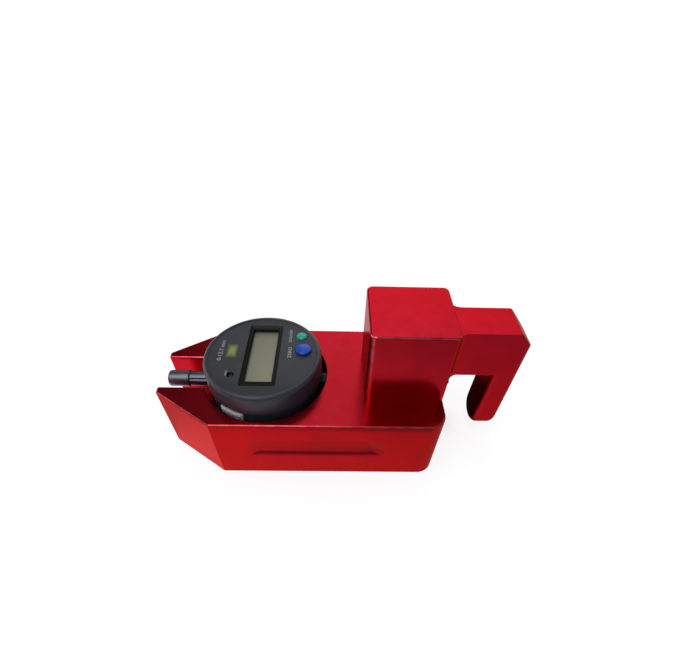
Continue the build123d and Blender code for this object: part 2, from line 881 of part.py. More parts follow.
def make_carriage():
    """Carriage clamped on the spindle, with an eye on the guide rod and a seat for the scale."""
    x0 = carriage_x
    x1 = carriage_x + carriage_length
    half = carriage_arm_thickness / 2
    eye = guide_rod_radius + guide_rod_wall - 2 * running_clearance
    body = rod(x0, x1, carriage_radius)
    body += box(x0, x1, 0, scale_offset + scale_width / 2, axis_z - half, axis_z + half)
    body += box(x0, x1, -guide_rod_offset, 0, guide_z - half, guide_z + half)
    body += rod(x0, x1, eye, -guide_rod_offset, guide_z)
    seat = scale_offset - scale_width / 2
    body += box(x0, x1, seat, seat + scale_width, axis_z - half, axis_z + scale_rise)
    body -= rod(x0 - through, x1 + through, spindle_radius + seat_clearance)
    hole = guide_rod_radius + running_clearance
    body -= rod(x0 - through, x1 + through, hole, -guide_rod_offset, guide_z)
    return body


def make_scale():
    """Glass scale strip that rides on the carriage."""
    middle = carriage_x + carriage_length / 2
    seat = scale_offset - scale_width / 2
    low = axis_z + scale_rise
    return box(
        middle - scale_length / 2, middle + scale_length / 2,
        seat, seat + scale_width, low, low + scale_thickness,
    )


def make_read_head():
    """Block under the board that reads the scale."""
    middle = carriage_x + carriage_length / 2
    seat = scale_offset - scale_width / 2
    return box(
        middle - head_length / 2, middle + head_length / 2,
        seat, seat + scale_width, head_low_z, board_low_z,
    )


def make_guide_rod():
    """Thin rod beside the spindle that stops it turning."""
    x0, x1 = guide_rod_ends()
    return rod(x0 + joint_gap, x1 - joint_gap, guide_rod_radius, -guide_rod_offset, guide_z)


def make_spring():
    """Coil spring between the guard tube's boss and the carriage."""
    x0 = guard_start_x + spring_wire_radius + spring_clearance / 2
    x1 = carriage_x - spring_wire_radius - spring_clearance / 2
    mean_radius = spindle_radius + spring_clearance + spring_wire_radius
    length = x1 - x0
    path = Helix(length / spring_coils, length, mean_radius)
    start = Plane(origin=path @ 0, z_dir=path % 0)
    coil = sweep(start * Circle(spring_wire_radius), path=path, is_frenet=True)
    return Pos(x0, 0, axis_z) * Rot(0, 90, 0) * coil


def battery_place():
    """Centre of the battery seen from above."""
    return at_angle(battery_angle, battery_centre_radius)


def battery_low():
    """Height of the battery's lower face in its tray."""
    return axis_z + (tray_rise - battery_thickness) / 2


def make_battery():
    """Button cell."""
    x, y = battery_place()
    low = battery_low()
    cell_body = post(x, y, low, low + battery_thickness, battery_radius - tray_clearance)
    return chamfer(cell_body.faces().sort_by(Axis.Z)[-1].edges(), tray_wall)


def make_battery_tray():
    """Slide-in tray round the button cell."""
    width = 2 * (battery_radius + tray_wall)
    inner = battery_centre_radius - battery_radius - tray_wall
    tray = radial_box(battery_angle, inner, rear_radius, width, axis_z + tray_clearance, axis_z + tray_rise)
    within = post(centre_x, 0, axis_z, axis_z + tray_rise, rear_radius - seat_clearance)
    x, y = battery_place()
    low = battery_low() - joint_gap
    return (tray & within) - post(x, y, low, axis_z + tray_rise + through, battery_radius)


def make_battery_cover():
    """Curved metal cover over the tray's outer end."""
    low = axis_z + (tray_rise - battery_cover_height) / 2
    high = low + battery_cover_height
    outer = post(centre_x, 0, low, high, rear_radius + battery_cover_thickness)
    inner = post(centre_x, 0, low - through, high + through, rear_radius + seat_clearance)
    reach = rear_radius + battery_cover_thickness + through
    wedge = radial_box(battery_angle, battery_centre_radius, reach, battery_cover_width, low, high)
    return (outer - inner) & wedge


def make_battery_contacts():
    """Thin contact blade over the battery, down from the board."""
    x, y = battery_place()
    low = battery_low() + battery_thickness
    blade = post(x, y, low, low + battery_contact_thickness, battery_radius / 2)
    leaf = post(x, y, low, board_low_z, battery_contact_thickness)
    return blade + leaf


def plug_solid(gap):
    """Shape of the data socket's plug, grown by a gap for its opening."""
    low = axis_z + plug_rise
    return radial_box(
        plug_angle, rear_radius - plug_depth, rear_radius + through, plug_width + 2 * gap,
        low - gap, low + plug_height + gap,
    )


def make_data_plug():
    """Soft plug in the data socket, with a lip outside the case."""
    within = post(centre_x, 0, back_z, split_z, rear_radius + plug_lip)
    return plug_solid(0) & within


def build():
    """Write every piece."""
    save(make_body(), "gauge_body")
    save(make_bottom_cover(), "bottom_cover")
    save(make_cover_screws(), "bottom_cover_screws")
    save(make_clamp_block(), "stem_clamp_block")
    save(make_clamp_screws(), "stem_clamp_screws")
    save(make_rod_bush(), "rod_bush")
    save(make_wiper(), "rod_wiper")
    save(make_front_case(), "front_case")
    save(make_face_plate(), "face_plate")
    save(make_display_frame(), "display_frame")
    save(cell(glass_low_z, glass_top_z), "display_window")
    save(cell(panel_low_z, panel_top_z), "display_panel")
    save(make_strips(), "display_strips")
    for name, values in BUTTONS.items():
        save(make_button(*values), name)
    save(make_domes(), "snap_domes")
    save(make_board(), "circuit_board")
    save(make_board_screws(), "board_screws")
    save(make_rear_case(), "rear_case")
    save(make_gasket(), "case_gasket")
    save(make_back_cover(), "back_cover")
    save(make_back_screws(), "back_cover_screws")
    save(make_stem(), "stem")
    save(make_stem_bushes(), "stem_bushes")
    save(make_guard_tube(), "guard_tube")
    save(make_spindle(), "spindle")
    save(make_knob(), "lifting_knob")
    save(make_extension_rod(), "extension_rod")
    save(make_contact_point(), "contact_point")
    save(make_carriage(), "carriage")
    save(make_scale(), "scale_strip")
    save(make_read_head(), "read_head")
    save(make_guide_rod(), "guide_rod")
    save(make_spring(), "return_spring")
    save(make_battery(), "battery")
    save(make_battery_tray(), "battery_tray")
    save(make_battery_cover(), "battery_cover")
    save(make_battery_contacts(), "battery_contact")
    save(make_data_plug(), "data_plug")


build()
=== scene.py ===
import math

import bmesh
import bpy
from bpy.props import FloatProperty, FloatVectorProperty, IntProperty, PointerProperty
from mathutils import Matrix, Vector


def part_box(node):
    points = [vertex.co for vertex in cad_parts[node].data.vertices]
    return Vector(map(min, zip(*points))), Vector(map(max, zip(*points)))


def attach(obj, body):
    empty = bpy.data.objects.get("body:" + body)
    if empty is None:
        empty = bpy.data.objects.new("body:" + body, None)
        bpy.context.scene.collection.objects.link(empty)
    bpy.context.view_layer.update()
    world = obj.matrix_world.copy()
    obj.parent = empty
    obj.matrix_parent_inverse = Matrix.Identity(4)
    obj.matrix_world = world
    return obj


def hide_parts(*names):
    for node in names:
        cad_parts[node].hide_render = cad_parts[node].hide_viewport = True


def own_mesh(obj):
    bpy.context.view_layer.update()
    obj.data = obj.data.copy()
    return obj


bl_info = {
    "name": "Road marking thickness gauge",
    "version": (1, 0, 0),
    "blender": (4, 5, 0),
    "location": "View3D > Sidebar > Gauge",
    "description": "Finishes and fine pieces of a hand-held thickness gauge with a digital indicator",
    "category": "Object",
}

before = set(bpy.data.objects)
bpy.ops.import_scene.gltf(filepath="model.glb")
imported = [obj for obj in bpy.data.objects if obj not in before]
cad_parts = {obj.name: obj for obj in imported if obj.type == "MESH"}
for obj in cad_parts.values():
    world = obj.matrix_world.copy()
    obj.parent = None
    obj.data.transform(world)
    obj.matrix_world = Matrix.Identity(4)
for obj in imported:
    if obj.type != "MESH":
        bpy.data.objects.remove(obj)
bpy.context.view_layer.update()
MM = 0.001
INK_GAP = 0.005 * MM
MERGE_DISTANCE = 1e-7


# Shader maths


class Value:
    """A node's output. An expression on values adds the Math nodes that it needs."""

    def __init__(self, nodes, socket):
        self.nodes = nodes
        self.socket = socket

    def math(self, operation, first, second=0.0):
        return self.nodes.node("ShaderNodeMath", {"operation": operation}, {0: first, 1: second})

    def __add__(self, other):
        return self.math("ADD", self, other)

    def __radd__(self, other):
        return self.math("ADD", other, self)

    def __sub__(self, other):
        return self.math("SUBTRACT", self, other)

    def __rsub__(self, other):
        return self.math("SUBTRACT", other, self)

    def __mul__(self, other):
        return self.math("MULTIPLY", self, other)

    def __rmul__(self, other):
        return self.math("MULTIPLY", other, self)

    def __truediv__(self, other):
        return self.math("DIVIDE", self, other)

    def __pow__(self, other):
        return self.math("POWER", self, other)

    def __abs__(self):
        return self.math("ABSOLUTE", self)

    def larger(self, other):
        return self.math("MAXIMUM", self, other)

    def step(self, low, high):
        """0 below low, 1 above high and a soft step between them. low may be the larger."""
        settings = {"interpolation_type": "SMOOTHSTEP"}
        return self.nodes.node("ShaderNodeMapRange", settings, {0: self, 1: low, 2: high, 3: 0.0, 4: 1.0})

    def band(self, low, high, soft):
        """1 between low and high, with soft sides."""
        return self.step(low - soft, low + soft) * self.step(high + soft, high - soft)

    def waves(self, length):
        """Sine along this coordinate, from 0 to 1, one wave in each length."""
        return self.math("SINE", self * (2 * math.pi / length)) * 0.5 + 0.5


class Nodes:
    """Builds the nodes of one material or world."""

    def __init__(self, tree):
        self.tree = tree
        tree.nodes.clear()

    def node(self, kind, settings=None, inputs=None, output=0):
        """One node: its settings first, then the values or links of its sockets."""
        node = self.tree.nodes.new(kind)
        for key, value in (settings or {}).items():
            setattr(node, key, value)
        for key, value in (inputs or {}).items():
            if isinstance(value, Value):
                self.tree.links.new(value.socket, node.inputs[key])
            else:
                node.inputs[key].default_value = value
        return Value(self, node.outputs[output]) if node.outputs else None

    def place(self):
        """Object coordinates, in metres."""
        return self.node("ShaderNodeTexCoord", output="Object")

    def axes(self, vector):
        """The three parts of a vector."""
        split = self.node("ShaderNodeSeparateXYZ", None, {0: vector})
        return [Value(self, socket) for socket in split.socket.node.outputs]

    def stretched(self, vector, factors):
        """A vector with each of its parts scaled."""
        return self.node("ShaderNodeVectorMath", {"operation": "MULTIPLY"}, {0: vector, 1: factors})

    def noise(self, vector, size, detail=3.0, roughness=0.55):
        """Cloudy noise from 0 to 1 with patches of about the given size in metres."""
        inputs = {"Vector": vector, "Scale": 1.0 / size, "Detail": detail, "Roughness": roughness}
        return self.node("ShaderNodeTexNoise", {"noise_dimensions": "3D"}, inputs)

    def cells(self, vector, size):
        """Distance to scattered points, for speckle."""
        inputs = {"Vector": vector, "Scale": 1.0 / size}
        return self.node("ShaderNodeTexVoronoi", {"feature": "F1"}, inputs)

    def mix(self, factor, first, second):
        """A colour between two colours."""
        inputs = {0: factor, 6: first, 7: second}
        return self.node("ShaderNodeMix", {"data_type": "RGBA"}, inputs, output=2)

    def bump(self, height, depth, strength=1.0, normal=None):
        """Normal of a surface raised by height times depth, in metres."""
        inputs = {"Height": height, "Distance": depth, "Strength": strength}
        if normal is not None:
            inputs["Normal"] = normal
        return self.node("ShaderNodeBump", None, inputs)

    def surface(self, inputs):
        """Principled shader joined to the output."""
        self.output(self.node("ShaderNodeBsdfPrincipled", None, inputs))

    def output(self, value, kind="ShaderNodeOutputMaterial"):
        """Join a shader to a material's or a world's output."""
        self.node(kind, None, {"Surface": value})


def new_material(name):
    """A material, in the place of an older one of its name, and its nodes."""
    old = bpy.data.materials.get(name)
    if old:
        bpy.data.materials.remove(old)
    material = bpy.data.materials.new(name)
    material.use_nodes = True
    return material, Nodes(material.node_tree)


def tint(colour, factor):
    """A colour made lighter or darker."""
    return (*[min(1.0, part * factor) for part in colour[:3]], 1.0)


# Finishes


def painted_shade_shares(x, y, z):
    """Shares of painted shade on the body, in the places where the reflections alone are too pale."""
    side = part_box("gauge_body")[1].y
    # Painted shade on the floor and walls of the grips
    in_grip = abs(y).step(side - 2.9 * MM, side - 2.5 * MM)
    grip = abs(y).step(side - 0.04 * MM, side - 0.20 * MM) * in_grip
    grip = grip * z.band(19 * MM, 29.9 * MM, 2.0 * MM) * x.band(-44 * MM, 23 * MM, 4 * MM)
    # Painted shade along a grip's lower side, rising towards both of its ends
    middle_x, half_length = -10.6 * MM, 37.6 * MM
    along = abs(x - middle_x) / half_length
    line_z = 17.6 * MM + along ** 3 * (1.5 * MM)
    line = z.step(line_z + 4.8 * MM, line_z + 0.4 * MM) * z.step(line_z - 2.4 * MM, line_z - 0.6 * MM)
    line = line * along.step(1.0, 0.80) * in_grip
    # Painted shade on a strip of both sides below the base's top edge
    under_edge = abs(y).step(side - 0.20 * MM, side - 0.05 * MM) * z.step(37.4 * MM, 41.0 * MM)
    under_edge = under_edge * x.step(-80 * MM, 34 * MM)
    # Painted shade on the left end of the raised block, deeper towards its front
    block_end = x.band(12 * MM, 14 * MM, 0.2 * MM) * z.step(43 * MM, 45 * MM) * y.step(14 * MM, -10 * MM)
    # Painted shade in the pocket round the indicator
    case_low, case_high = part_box("front_case")
    away = ((x - (case_low.x + case_high.x) / 2) ** 2 + y ** 2) ** 0.5
    pocket = away.step(32.2 * MM, 32.0 * MM) * z.step(29 * MM, 30 * MM)
    return grip * 0.22, line * (0.26 + x * 3.0), under_edge * 0.55, block_end * 0.35, pocket * 0.75


def anodised_red(colour):
    """Dyed satin anodising on bead-blasted, milled aluminium, with painted shade in places and painted
    highlights on its edges.
    """
    material, nodes = new_material("anodised_red")
    place = nodes.place()
    x, y, z = nodes.axes(place)
    clouds = nodes.noise(place, 28 * MM, 3.0)
    patches = nodes.noise(place, 9 * MM, 4.0)
    grain = nodes.noise(place, 0.35 * MM, 2.0)
    passes = nodes.noise(nodes.stretched(place, (1.0, 1.0, 24.0)), 6 * MM, 3.0)
    scratch = nodes.noise(nodes.stretched(place, (1.0, 14.0, 30.0)), 12 * MM, 4.0, 0.7).step(0.70, 0.78)
    # Paler edges, partly worn dye and partly painted highlight: the base's rounded top edge, and the
    # block's upright corners
    facing = nodes.axes(nodes.node("ShaderNodeNewGeometry", output="True Normal"))
    rounded = facing[2].band(0.42, 0.90, 0.14) * z.step(32 * MM, 38 * MM)
    upright = abs(facing[0]).band(0.30, 0.96, 0.06) * abs(facing[1]).step(0.20, 0.40)
    upright = upright * x.step(12 * MM, 13 * MM) * z.step(43 * MM, 46 * MM) * x.step(52 * MM, 50 * MM)
    patchy = 0.45 + 0.55 * nodes.noise(place, 5 * MM, 4.0).step(0.40, 0.60)
    wear_and_painted_highlight = (rounded + 0.9 * upright) * patchy
    dye_and_painted_light = nodes.mix(clouds.step(0.25, 0.75), tint(colour, 0.90), tint(colour, 1.08))
    dye_and_painted_light = nodes.mix(patches.step(0.45, 0.75) * 0.35, dye_and_painted_light, tint(colour, 0.80))
    dye_and_painted_light = nodes.mix(grain * 0.14, dye_and_painted_light, tint(colour, 1.25))
    dye_and_painted_light = nodes.mix(wear_and_painted_highlight * 0.24, dye_and_painted_light, (0.86, 0.34, 0.38, 1.0))
    # Painted shade: darker dye in the grips, under the top edge, on the block's end and in the pocket
    for share in painted_shade_shares(x, y, z):
        dye_and_painted_light = nodes.mix(share, dye_and_painted_light, tint(colour, 0.1))
    roughness = 0.225 + (patches - 0.5) * 0.07 + (grain - 0.5) * 0.05 + scratch * 0.06
    roughness = roughness + (passes - 0.5) * 0.04 + upright * 0.17
    relief = nodes.bump(grain, 0.004 * MM, 0.6)
    relief = nodes.bump(passes, 0.006 * MM, 0.35, relief)
    relief = nodes.bump(scratch, 0.004 * MM, 0.25, relief)
    nodes.surface({
        "Base Color": dye_and_painted_light,
        "Metallic": 1.0,
        "Roughness": roughness,
        "Specular Tint": (0.62, 0.10, 0.11, 1.0),
        "Coat Weight": 0.12,
        "Coat Roughness": 0.2,
        "Normal": relief,
    })
    return material


def metal(name, colour, roughness, axis=None, spacing=0.25, wear=0.5, metallic=1.0):
    """Machined metal with fine tool marks along one axis, spacing millimetres apart."""
    material, nodes = new_material(name)
    place = nodes.place()
    parts = nodes.axes(place)
    clouds = nodes.noise(place, 6 * MM, 4.0)
    grain = nodes.noise(place, 0.3 * MM, 2.0)
    shade = nodes.mix(clouds.step(0.3, 0.7), tint(colour, 0.84), tint(colour, 1.06))
    shade = nodes.mix(grain * 0.25, shade, tint(colour, 0.72))
    relief = nodes.bump(grain, 0.003 * MM, 0.5)
    rough = roughness + (clouds - 0.5) * 0.16 * wear + (grain - 0.5) * 0.08
    if axis is not None:
        marks = parts[axis].waves(spacing * MM) * nodes.noise(place, 1.5 * MM, 2.0)
        relief = nodes.bump(marks, 0.006 * MM, 0.4, relief)
        rough = rough + (marks - 0.3) * 0.10
    nodes.surface({"Base Color": shade, "Metallic": metallic, "Roughness": rough, "Normal": relief})
    return material


def black_metal(name, colour, roughness):
    """Black anodised turned metal: dark, with a soft sheen and very fine turning rings."""
    material, nodes = new_material(name)
    place = nodes.place()
    rings = nodes.axes(place)[0].waves(0.28 * MM)
    clouds = nodes.noise(place, 4 * MM, 3.0)
    grain = nodes.noise(place, 0.25 * MM, 2.0)
    shade = nodes.mix(clouds.step(0.3, 0.7), tint(colour, 0.88), tint(colour, 1.10))
    shade = nodes.mix(grain * 0.20, shade, tint(colour, 0.70))
    relief = nodes.bump(rings, 0.0006 * MM, 0.2)
    relief = nodes.bump(grain, 0.0004 * MM, 0.2, relief)
    nodes.surface({
        "Base Color": shade,
        "Metallic": 0.85,
        "Roughness": roughness + (clouds - 0.5) * 0.10 + (rings - 0.5) * 0.02,
        "Coat Weight": 0.15,
        "Coat Roughness": 0.25,
        "Normal": relief,
    })
    return material


def plastic(
    name, colour, roughness=0.4, pebble=0.22, depth=0.010,
    coat=0.0, dust=0.10, shine=0.5, ends=0.0, shoulder=0.0,
):
    """Moulded plastic with a spark-eroded grain, handling shine and a little dust. pebble and depth are
    the grain's sizes in millimetres. It can have painted shade towards both ends along Y, and on its
    shoulder."""
    material, nodes = new_material(name)
    place = nodes.place()
    clouds = nodes.noise(place, 11 * MM, 4.0)
    handled = nodes.noise(place, 5 * MM, 3.0).step(0.42, 0.68)
    grain = nodes.noise(place, pebble * MM, 2.0)
    specks = nodes.cells(place, 2.2 * MM).step(0.16, 0.05) * nodes.noise(place, 7 * MM, 2.0).step(0.55, 0.7)
    shade = nodes.mix(clouds.step(0.3, 0.7), tint(colour, 0.90), tint(colour, 1.10))
    shade = nodes.mix(grain * 0.22, shade, tint(colour, 0.74))
    shade = nodes.mix(specks * dust, shade, (0.42, 0.40, 0.37, 1.0))
    # Painted shade towards both ends along Y
    if ends:
        reach = abs(nodes.axes(place)[1]).step(15 * MM, 26 * MM)
        shade = nodes.mix(reach * ends, shade, tint(colour, 0.2))
    # Painted shade on the shoulder, where the surface turns away from straight up
    if shoulder:
        upward = nodes.axes(nodes.node("ShaderNodeNewGeometry", output="Normal"))[2]
        shade = nodes.mix(upward.step(0.985, 0.80) * shoulder, shade, tint(colour, 0.5))
    rough = roughness + (grain - 0.5) * 0.14 - handled * 0.07 + (clouds - 0.5) * 0.08
    relief = nodes.bump(grain, depth * MM, 0.6)
    nodes.surface({
        "Base Color": shade,
        "Roughness": rough,
        "Specular IOR Level": shine,
        "Coat Weight": coat,
        "Coat Roughness": 0.12,
        "Normal": relief,
    })
    return material


def rubber(name, colour):
    """Soft black or tinted rubber, matt, with a dusty bloom."""
    material, nodes = new_material(name)
    place = nodes.place()
    bloom = nodes.noise(place, 3 * MM, 5.0)
    grain = nodes.noise(place, 0.2 * MM, 2.0)
    shade = nodes.mix(bloom.step(0.4, 0.7) * 0.5, tint(colour, 1.0), tint(colour, 1.8))
    relief = nodes.bump(grain, 0.012 * MM, 0.6)
    nodes.surface({"Base Color": shade, "Roughness": 0.62 + (bloom - 0.5) * 0.2, "Normal": relief})
    return material


def display_cell(colour):
    """Unpowered liquid crystal cell: grey-olive, with faint segments, painted light towards its near end, a
    painted shadow at its far end and darker long sides.
    """
    material, nodes = new_material("display_cell")
    place = nodes.place()
    x, y = nodes.axes(place)[:2]
    low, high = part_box("display_panel")
    length = high.y - low.y
    centre = (low.x + high.x) / 2
    clouds = nodes.noise(place, 10 * MM, 3.0)
    # Painted shadow at the far end and painted light towards the near end; the long sides are darker
    far_end_shadow = y.step(high.y - 0.14 * length, high.y - 0.06 * length)
    near_light = y.step(high.y, low.y)
    side = abs(x - centre).step(5.2 * MM, 6.6 * MM)
    digits = y.waves(4.9 * MM)
    digit = digits.step(0.30, 0.42) * abs(x - centre).step(3.3 * MM, 3.1 * MM)
    core = digits.step(0.62, 0.74) * abs(abs(x - centre) - 1.45 * MM).step(1.2 * MM, 1.0 * MM)
    ghost = (digit - core).larger(0.0) * y.band(low.y + 4.0 * MM, high.y - 6.0 * MM, 0.2 * MM)
    shade = nodes.mix(near_light, tint(colour, 0.90), tint(colour, 1.12))
    shade = nodes.mix(far_end_shadow * 0.42, shade, tint(colour, 0.50))
    shade = nodes.mix(side * 0.18, shade, tint(colour, 0.60))
    shade = nodes.mix(ghost * 0.07, shade, tint(colour, 0.55))
    shade = nodes.mix(clouds.step(0.3, 0.7) * 0.12, shade, tint(colour, 0.86))
    rough = 0.42 + (clouds - 0.5) * 0.1
    nodes.surface({"Base Color": shade, "Roughness": rough, "Specular IOR Level": 0.35})
    return material


def clear_window(name, colour, alpha):
    """Clear plastic or glass that shows what lies under it, with faint wiping marks."""
    material, nodes = new_material(name)
    place = nodes.place()
    wipes = nodes.noise(nodes.stretched(place, (1.0, 0.25, 1.0)), 4 * MM, 4.0)
    nodes.surface({
        "Base Color": tint(colour, 1.0),
        "Roughness": 0.04 + wipes.step(0.4, 0.8) * 0.12,
        "Alpha": alpha + wipes.step(0.45, 0.8) * 0.03,
        "Coat Weight": 1.0,
    })
    return material


def circuit_board(colour):
    """Solder mask with copper tracks showing faintly through it."""
    material, nodes = new_material("circuit_board")
    place = nodes.place()
    x, y = nodes.axes(place)[:2]
    lanes = x.waves(1.3 * MM).step(0.55, 0.7).larger(y.waves(2.1 * MM).step(0.8, 0.9))
    tracks = lanes * nodes.noise(place, 8 * MM, 1.0).step(0.48, 0.52)
    shade = nodes.mix(tracks * 0.5, tint(colour, 0.9), tint(colour, 2.1))
    relief = nodes.bump(tracks, 0.03 * MM, 0.6)
    rough = 0.3 + tracks * 0.1
    nodes.surface({"Base Color": shade, "Roughness": rough, "Coat Weight": 0.4, "Normal": relief})
    return material


def ruled_glass():
    """Glass scale with fine ruled lines."""
    material, nodes = new_material("ruled_glass")
    x, y = nodes.axes(nodes.place())[:2]
    lines = x.waves(0.4 * MM).step(0.55, 0.7) * y.band(9.5 * MM, 12 * MM, 0.1 * MM)
    shade = nodes.mix(lines, (0.62, 0.70, 0.72, 1.0), (0.05, 0.05, 0.05, 1.0))
    nodes.surface({"Base Color": shade, "Roughness": 0.06, "Alpha": 0.45 + lines * 0.5})
    return material


def print_ink(name, colour, spot=None):
    """Screen-printed ink, slightly uneven. A spot's ink thins out from its centre to its half sizes."""
    material, nodes = new_material(name)
    place = nodes.place()
    cover = nodes.noise(place, 0.9 * MM, 4.0)
    shade = nodes.mix(cover.step(0.35, 0.7) * 0.35, tint(colour, 1.0), tint(colour, 0.7))
    if spot:
        x, y = nodes.axes(place)[:2]
        centre, half_x, half_y = spot
        away = (abs(x - centre[0]) / half_x).larger(abs(y - centre[1]) / half_y)
        shade = nodes.mix(away.step(0.25, 1.0) * 0.85, shade, tint(colour, 0.12))
    relief = nodes.bump(cover, 0.006 * MM, 0.4)
    nodes.surface({"Base Color": shade, "Roughness": 0.5 + (cover - 0.5) * 0.2, "Normal": relief})
    return material


# Mesh helpers


def new_piece(name, mesh_builder, material, body, replaces):
    """An object at the origin from a bmesh, riding on a body."""
    bm = bmesh.new()
    mesh_builder(bm)
    bmesh.ops.remove_doubles(bm, verts=bm.verts[:], dist=MERGE_DISTANCE)
    bmesh.ops.recalc_face_normals(bm, faces=bm.faces[:])
    mesh = bpy.data.meshes.new(name)
    bm.to_mesh(mesh)
    bm.free()
    return place_mesh(name, mesh, material, body, replaces)


def place_mesh(name, mesh, material, body, replaces):
    """Link a finished mesh as a piece on a body, in the place of the nodes that it replaces, if any."""
    mesh.materials.clear()
    mesh.materials.append(material)
    for polygon in mesh.polygons:
        polygon.use_smooth = True
    mesh.set_sharp_from_angle(angle=math.radians(32))
    piece = bpy.data.objects.new(name, mesh)
    bpy.context.scene.collection.objects.link(piece)
    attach(piece, body)
    if replaces:
        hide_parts(*replaces)
    return piece


def spin_profile(bm, profile, centre, axis=(0, 0, 1), out=(1, 0, 0), steps=96):
    """Turn a profile of (radius, height) points round an axis."""
    centre, axis, out = Vector(centre), Vector(axis), Vector(out)
    points = [bm.verts.new(centre + out * r + axis * h) for r, h in profile]
    edges = [bm.edges.new(pair) for pair in zip(points, points[1:])]
    bmesh.ops.spin(
        bm, geom=points + edges, cent=centre, axis=axis, angle=2 * math.pi, steps=steps, use_merge=True,
    )
    bmesh.ops.remove_doubles(bm, verts=bm.verts[:], dist=MERGE_DISTANCE)


def round_off(bm, geom, offset, segments, affect="EDGES", clamp=False):
    """Bevel edges or corners to a round."""
    return bmesh.ops.bevel(
        bm, geom=geom, offset=offset, offset_type="OFFSET", segments=segments, profile=0.5,
        affect=affect, material=-1, clamp_overlap=clamp,
    )


def soften(bm, offset):
    """Round every edge at which two faces turn by more than 30 degrees."""
    bm.normal_update()
    limit = math.radians(30)
    sharp = [e for e in bm.edges if len(e.link_faces) == 2 and e.calc_face_angle(0.0) > limit]
    round_off(bm, sharp, offset, 3, clamp=True)


def rounded_ring(bm, centre, size_x, size_y, radius, z):
    """Edges of a rounded rectangle at one height."""
    before = set(bm.faces)
    verts = bmesh.ops.create_grid(bm, x_segments=1, y_segments=1, size=0.5)["verts"]
    bmesh.ops.scale(bm, vec=(size_x, size_y, 1.0), verts=verts)
    bmesh.ops.translate(bm, vec=(centre[0], centre[1], z), verts=verts)
    round_off(bm, verts, radius, 6, "VERTICES")
    faces = [f for f in bm.faces if f not in before]
    edges = list({e for f in faces for e in f.edges})
    bmesh.ops.delete(bm, geom=faces, context="FACES_ONLY")
    return edges


def grow_wall(bm, edges, rings):
    """Extrude a ring of edges through rings, each of them a centre, two sizes and a height."""
    for old, new in zip(rings, rings[1:]):
        made = bmesh.ops.extrude_edge_only(bm, edges=edges)["geom"]
        verts = [item for item in made if isinstance(item, bmesh.types.BMVert)]
        there = Matrix.Translation((*new[0], new[3]))
        size = Matrix.Diagonal((new[1] / old[1], new[2] / old[2], 1.0, 1.0))
        back = Matrix.Translation((-old[0][0], -old[0][1], -old[3]))
        bmesh.ops.transform(bm, matrix=there @ size @ back, verts=verts)
        moved = set(verts)
        edges = [
            item for item in made
            if isinstance(item, bmesh.types.BMEdge) and moved.issuperset(item.verts)
        ]
    return edges


# Settings


def colour_setting(name, description, default):
    """A colour in the sidebar."""
    return FloatVectorProperty(
        name=name, description=description, default=default, subtype="COLOR", size=3, min=0, max=1,
    )


def length_setting(name, description, default, least, most):
    """A length in the sidebar, given in millimetres."""
    return FloatProperty(
        name=name, description=description, default=default * MM, min=least * MM, max=most * MM,
        unit="LENGTH",
    )


class GaugeColours(bpy.types.PropertyGroup):
    """Colours of the gauge's finishes."""

    body: colour_setting("Body", "Dye of the anodised body", (0.46, 0.0058, 0.0175))
    case: colour_setting("Indicator case", "Moulded case of the indicator", (0.030, 0.031, 0.046))
    face: colour_setting("Indicator face", "Film on the indicator's face", (0.036, 0.039, 0.047))
    display: colour_setting("Display", "Unpowered display", (0.235, 0.238, 0.160))
    origin: colour_setting("Zero button", "Large button", (0.004, 0.065, 0.48))
    power: colour_setting("Power button", "Upper button", (0.008, 0.40, 0.28))
    patch: colour_setting("Patch", "Coloured patch on the face", (0.21, 0.25, 0.075))
    ink: colour_setting("Ink", "Printed marks", (0.36, 0.37, 0.39))


class GaugeSizes(bpy.types.PropertyGroup):
    """Sizes of the fine pieces."""

    crown: length_setting("Button crown", "How far a button's middle stands over its edge", 0.45, 0.0, 1.0)
    cap_edge: length_setting("Button edge", "Rounding of a button's upper edge", 1.05, 0.05, 1.2)
    bezel_edge: length_setting("Bezel edge", "Rounding of the display frame's edges", 0.18, 0.02, 0.4)
    ink_height: length_setting("Ink height", "Thickness of the printed marks", 0.03, 0.005, 0.1)
    rib_count: IntProperty(
        name="Ribs", description="Grip ribs on the battery cover", default=9, min=3, max=20,
    )
    light: FloatProperty(
        name="Light", description="Level of the studio light", default=1.0, min=0.0, max=4.0,
    )
    lens: FloatProperty(
        name="Lens", description="Focal length of the camera, in millimetres",
        default=20.725, min=10.0, max=100.0,
    )


def colours():
    return bpy.context.scene.gauge_colours


def sizes():
    return bpy.context.scene.gauge_sizes


def finish_nodes(material, names):
    """Give CAD nodes their material."""
    for name in names:
        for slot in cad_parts[name].material_slots:
            slot.material = material


# Operators


class GAUGE_OT_body(bpy.types.Operator):
    """Red anodising on the milled body"""

    bl_idname = "gauge.body"
    bl_label = "Body"

    def execute(self, context):
        finish_nodes(anodised_red(colours().body), ["gauge_body"])
        return {"FINISHED"}


